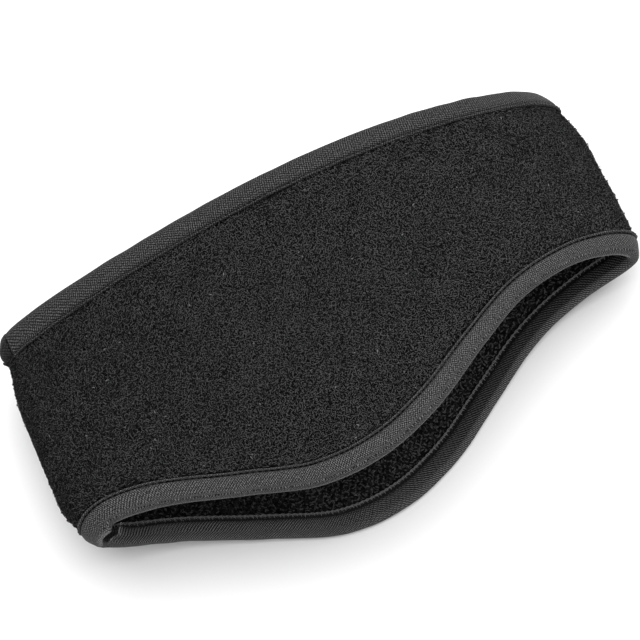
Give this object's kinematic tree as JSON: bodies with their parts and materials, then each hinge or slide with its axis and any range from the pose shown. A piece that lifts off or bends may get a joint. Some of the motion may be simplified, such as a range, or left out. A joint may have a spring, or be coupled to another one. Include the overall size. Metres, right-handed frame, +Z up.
{
  "type": "ear warmer headband",
  "caption": "Fleece ear warmer headband lying on its side: a contoured band, wide over the ears and narrow at the front, with knit binding on both edges.",
  "frame": {"origin": "centre of the outline in plan, on the surface it lies on", "axes": "+X from the back fold to the front fold, +Y towards the edge nearer the crown, +Z up from the surface it lies on"},
  "size_m": [0.2456, 0.1272, 0.0699],
  "materials": {
    "fleece": "brushed pile, matte charcoal",
    "knit_binding": "fine stretch knit, matte dark grey"
  },
  "bodies": {
    "root": {"fleece_band": "fleece", "upper_binding": "knit_binding", "lower_binding": "knit_binding"}
  },
  "joints": []
}
